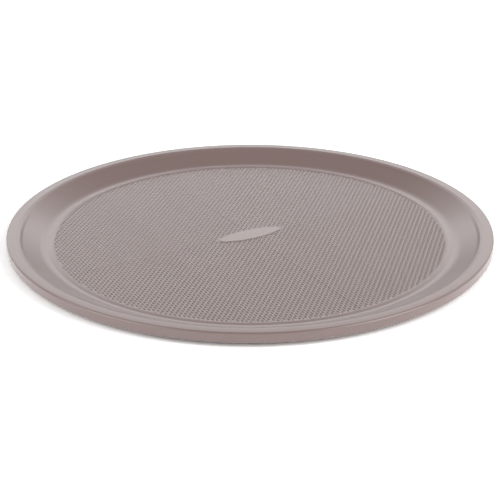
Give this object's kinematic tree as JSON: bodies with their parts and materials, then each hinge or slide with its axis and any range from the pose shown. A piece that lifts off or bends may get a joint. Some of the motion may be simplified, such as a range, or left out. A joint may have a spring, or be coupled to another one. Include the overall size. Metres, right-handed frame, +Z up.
{
  "type": "pizza pan",
  "caption": "Round shallow pizza pan: pressed coated sheet with an embossed floor, a bead round it, a sloping wall, a small step, a land and a square rolled rim over a steel wire.",
  "frame": {"origin": "centre of the flat base, on the surface that the pan stands on", "axes": "+Z up out of the dish, along the pan's axis; +X along the smooth oval in the middle of the floor"},
  "size_m": [0.4, 0.4, 0.0115],
  "materials": {
    "coated_sheet": "satin mauve-grey non-stick coating on pressed steel sheet",
    "rim_steel": "drawn steel wire, hidden in the rolled rim"
  },
  "bodies": {
    "root": {"pan_sheet": "coated_sheet", "rim_wire": "rim_steel"}
  },
  "joints": []
}
